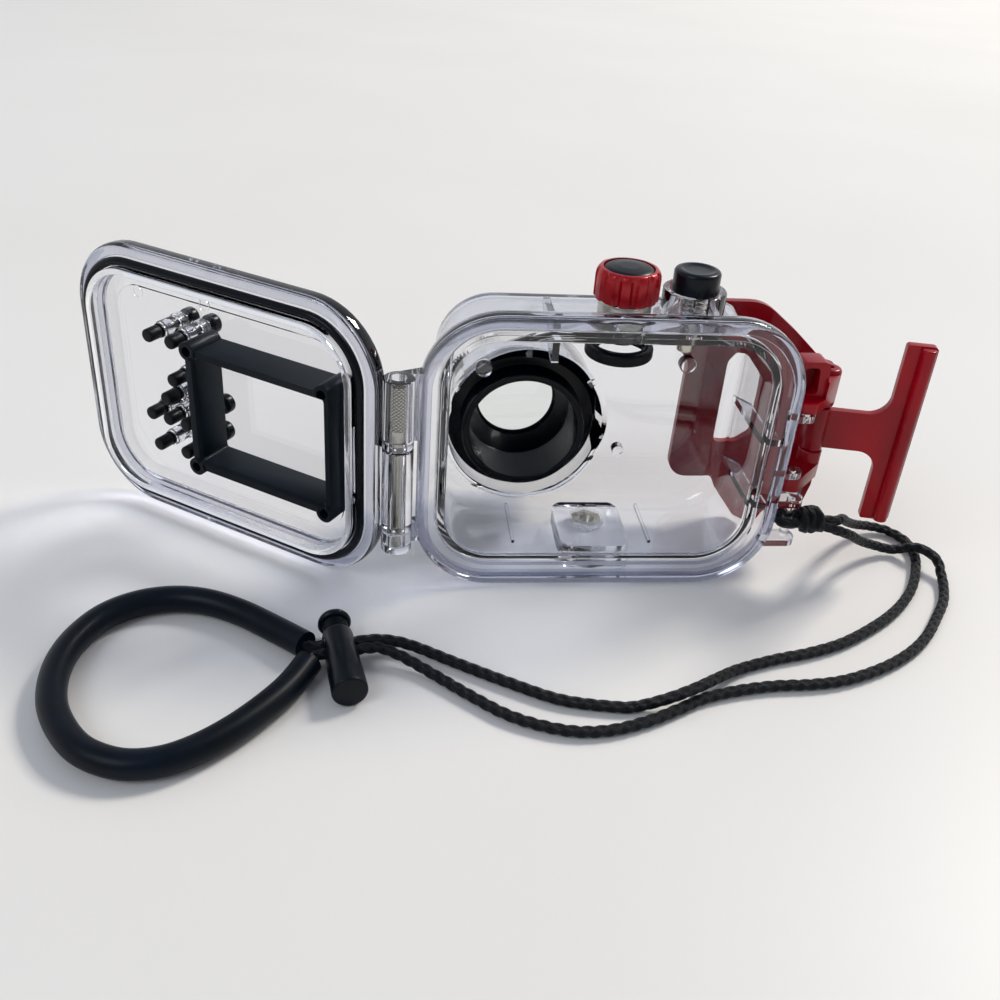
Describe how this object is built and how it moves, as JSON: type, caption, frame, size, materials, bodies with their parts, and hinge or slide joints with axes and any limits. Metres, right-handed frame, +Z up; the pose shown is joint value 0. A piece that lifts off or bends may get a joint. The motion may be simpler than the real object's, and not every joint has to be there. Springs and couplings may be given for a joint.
{
  "type": "underwater camera housing",
  "caption": "Clear underwater camera housing, hinged back door open, with push buttons, mode dial, shutter button, lens port, latch and wrist lanyard.",
  "frame": {"origin": "middle of the flat bottom edge of the sealing flange, on the surface the housing stands on", "axes": "+X towards the latch side, +Y towards the lens port, +Z up"},
  "size_m": [0.3241, 0.1676, 0.1148],
  "materials": {
    "clear_plastic": "clear polycarbonate, glossy",
    "window": "clear flat window",
    "black_plastic": "black, satin",
    "black_rubber": "black, soft",
    "red_plastic": "red, glossy",
    "red_metal": "red, anodised",
    "steel": "bright, machined",
    "brass": "plated, machined",
    "cord": "black, woven"
  },
  "bodies": {
    "housing": {"body_shell": "clear_plastic", "lens_baffle": "black_plastic", "port_seal": "black_rubber", "port_glass": "window", "tripod_insert": "brass", "hinge_pin": "steel", "dial_collar": "steel", "dial_gland": "black_plastic", "shutter_spring": "steel", "lower_latch_pin": "steel", "upper_latch_pin": "steel", "lanyard_cord": "cord", "wrist_tube": "black_rubber", "lock_barrel": "black_plastic", "lock_spring": "steel"},
    "mode_dial": {"mode_dial": "red_metal", "dial_cap": "black_plastic", "dial_shaft": "steel", "dial_wheel": "black_plastic", "dial_tyre": "black_rubber"},
    "shutter_button": {"shutter_button": "black_plastic", "shutter_stem": "steel"},
    "door": {"door_panel": "clear_plastic", "door_gasket": "black_rubber", "screen_hood": "black_rubber", "hood_screw_1": "steel", "hood_screw_2": "steel", "hood_screw_3": "steel", "hood_screw_4": "steel", "button_upper_left_spring": "steel", "button_upper_right_spring": "steel", "button_playback_spring": "steel", "button_pad_up_spring": "steel", "button_pad_left_spring": "steel", "button_pad_centre_spring": "steel", "button_pad_right_spring": "steel", "button_lower_left_spring": "steel", "button_lower_right_spring": "steel"},
    "latch_lever": {"latch_lever": "red_plastic", "hook_pin": "steel"},
    "latch_hook": {"latch_hook": "red_plastic"},
    "lock_plunger": {"lock_plunger": "black_plastic"},
    "button_upper_left": {"button_upper_left": "black_plastic", "button_upper_left_tip": "black_rubber"},
    "button_upper_right": {"button_upper_right": "black_plastic", "button_upper_right_tip": "black_rubber"},
    "button_playback": {"button_playback": "black_plastic", "button_playback_tip": "black_rubber"},
    "button_pad_up": {"button_pad_up": "black_plastic", "button_pad_up_tip": "black_rubber"},
    "button_pad_left": {"button_pad_left": "black_plastic", "button_pad_left_tip": "black_rubber"},
    "button_pad_centre": {"button_pad_centre": "black_plastic", "button_pad_centre_tip": "black_rubber"},
    "button_pad_right": {"button_pad_right": "black_plastic", "button_pad_right_tip": "black_rubber"},
    "button_lower_left": {"button_lower_left": "black_plastic", "button_lower_left_tip": "black_rubber"},
    "button_lower_right": {"button_lower_right": "black_plastic", "button_lower_right_tip": "black_rubber"}
  },
  "joints": [
    {"name": "door_hinge", "type": "hinge", "parent": "housing", "child": "door", "pos_m": [-0.0716, -0.0073, 0.043], "axis": [0, 0, 1], "range_deg": [-6.1, 213.9], "deforming": ["lanyard_cord", "wrist_tube", "lock_barrel", "lock_plunger"]},
    {"name": "mode_dial_turn", "type": "hinge", "parent": "housing", "child": "mode_dial", "pos_m": [0.0035, 0.016, 0.1], "axis": [0, 0, 1], "continuous": true},
    {"name": "shutter_press", "type": "slide", "parent": "housing", "child": "shutter_button", "axis": [0, 0, -1], "range_m": [0, 0.003], "stiffness_N_per_m": 700, "springref_m": -0.002, "deforming": ["shutter_spring"]},
    {"name": "latch_lever_turn", "type": "hinge", "parent": "housing", "child": "latch_lever", "pos_m": [0.0686, 0.0005, 0.057], "axis": [0, 0, 1], "range_deg": [-95, 0]},
    {"name": "latch_hook_turn", "type": "hinge", "parent": "latch_lever", "child": "latch_hook", "pos_m": [0.079, 0.013, 0.058], "axis": [0, 0, -1], "range_deg": [-15, 102.3]},
    {"name": "lock_press", "type": "slide", "parent": "housing", "child": "lock_plunger", "axis": [0.1719, -0.9851, 0], "range_m": [0, 0.003], "stiffness_N_per_m": 500, "springref_m": -0.003, "deforming": ["lock_spring"]},
    {"name": "button_upper_left_press", "type": "slide", "parent": "door", "child": "button_upper_left", "axis": [-0.5577, -0.83, 0], "range_m": [0, 0.0022], "stiffness_N_per_m": 400, "springref_m": -0.0015, "deforming": ["button_upper_left_spring"]},
    {"name": "button_upper_right_press", "type": "slide", "parent": "door", "child": "button_upper_right", "axis": [-0.5577, -0.83, 0], "range_m": [0, 0.0022], "stiffness_N_per_m": 400, "springref_m": -0.0015, "deforming": ["button_upper_right_spring"]},
    {"name": "button_playback_press", "type": "slide", "parent": "door", "child": "button_playback", "axis": [-0.5577, -0.83, 0], "range_m": [0, 0.0022], "stiffness_N_per_m": 400, "springref_m": -0.0015, "deforming": ["button_playback_spring"]},
    {"name": "button_pad_up_press", "type": "slide", "parent": "door", "child": "button_pad_up", "axis": [-0.5577, -0.83, 0], "range_m": [0, 0.0022], "stiffness_N_per_m": 400, "springref_m": -0.0015, "deforming": ["button_pad_up_spring"]},
    {"name": "button_pad_left_press", "type": "slide", "parent": "door", "child": "button_pad_left", "axis": [-0.5577, -0.83, 0], "range_m": [0, 0.0022], "stiffness_N_per_m": 400, "springref_m": -0.0015, "deforming": ["button_pad_left_spring"]},
    {"name": "button_pad_centre_press", "type": "slide", "parent": "door", "child": "button_pad_centre", "axis": [-0.5577, -0.83, 0], "range_m": [0, 0.0022], "stiffness_N_per_m": 400, "springref_m": -0.0015, "deforming": ["button_pad_centre_spring"]},
    {"name": "button_pad_right_press", "type": "slide", "parent": "door", "child": "button_pad_right", "axis": [-0.5577, -0.83, 0], "range_m": [0, 0.0022], "stiffness_N_per_m": 400, "springref_m": -0.0015, "deforming": ["button_pad_right_spring"]},
    {"name": "button_lower_left_press", "type": "slide", "parent": "door", "child": "button_lower_left", "axis": [-0.5577, -0.83, 0], "range_m": [0, 0.0022], "stiffness_N_per_m": 400, "springref_m": -0.0015, "deforming": ["button_lower_left_spring"]},
    {"name": "button_lower_right_press", "type": "slide", "parent": "door", "child": "button_lower_right", "axis": [-0.5577, -0.83, 0], "range_m": [0, 0.0022], "stiffness_N_per_m": 400, "springref_m": -0.0015, "deforming": ["button_lower_right_spring"]}
  ]
}
